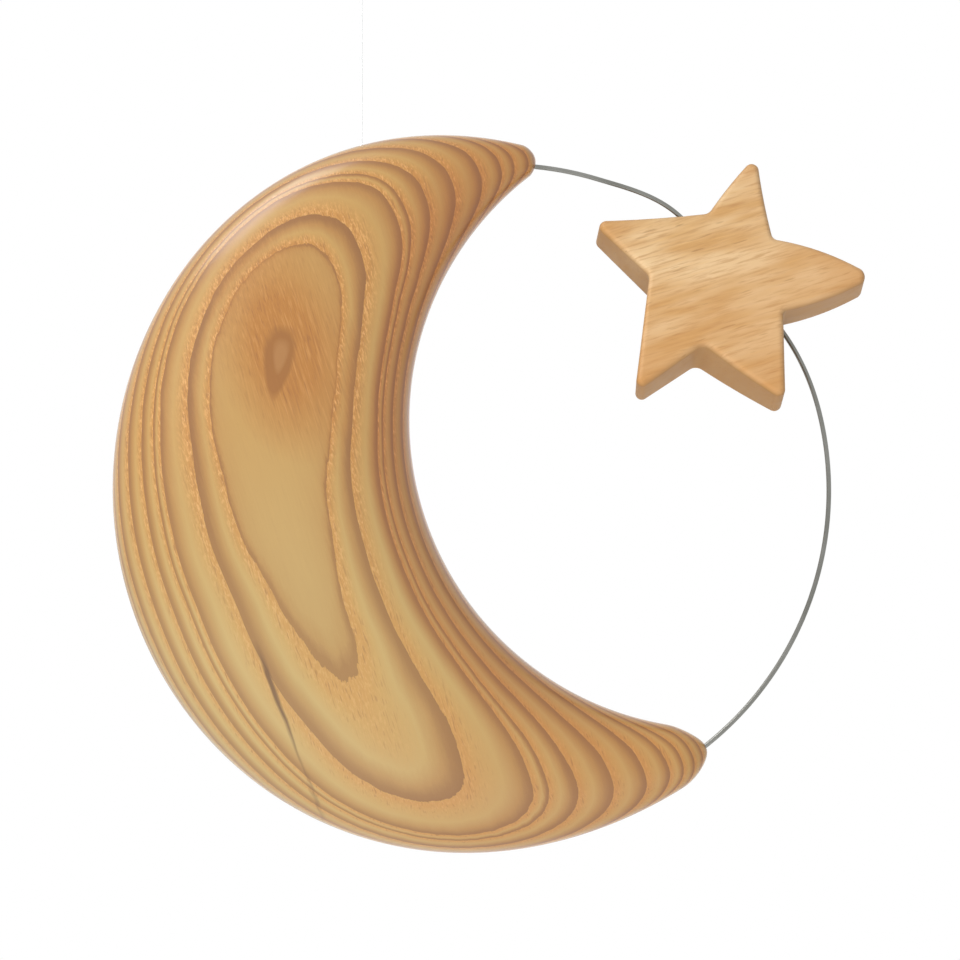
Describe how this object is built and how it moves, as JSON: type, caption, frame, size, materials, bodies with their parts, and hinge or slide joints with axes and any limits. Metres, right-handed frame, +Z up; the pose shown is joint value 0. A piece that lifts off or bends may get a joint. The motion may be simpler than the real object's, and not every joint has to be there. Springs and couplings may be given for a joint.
{
  "type": "moon and star hanging decoration",
  "caption": "Hanging decoration: a carved wooden crescent whose horns are joined by a bowed wire, with a wooden star threaded on the wire, on a clear line.",
  "frame": {"origin": "inside top of the hanging loop, where a hook bears", "axes": "+Z up along the line, +X towards the star's side, -Y towards the viewer who faces the moon and the star"},
  "size_m": [0.1571, 0.0278, 0.2044],
  "materials": {
    "moon_ash": "sanded and lightly oiled, satin",
    "star_ash": "sanded, satin",
    "spring_steel": "drawn wire, dull grey",
    "clear_nylon": "clear, glossy monofilament",
    "wood_glue": "dried glue, dull"
  },
  "bodies": {
    "loop": {"hanging_loop": "clear_nylon"},
    "knot": {"loop_knot": "clear_nylon"},
    "line": {"hanging_line": "clear_nylon"},
    "moon": {"moon_body": "moon_ash", "wire_arc": "spring_steel", "line_end": "clear_nylon", "glue_plug": "wood_glue"},
    "star": {"star": "star_ash"}
  },
  "joints": [
    {"name": "swing_front_back", "type": "hinge", "parent": "loop", "child": "knot", "pos_m": [0, 0, -0.01615], "axis": [1, 0, 0], "range_deg": [-45, 45]},
    {"name": "swing_sideways", "type": "hinge", "parent": "knot", "child": "line", "pos_m": [0, 0, -0.01945], "axis": [0, 1, 0], "range_deg": [-45, 45]},
    {"name": "line_twist", "type": "hinge", "parent": "line", "child": "moon", "pos_m": [0, 0, -0.05575], "axis": [0, 0, 1], "continuous": true},
    {"name": "star_turn", "type": "hinge", "parent": "moon", "child": "star", "pos_m": [0.07764, 0, -0.08254], "axis": [0.6651, 0, -0.7468], "continuous": true}
  ]
}
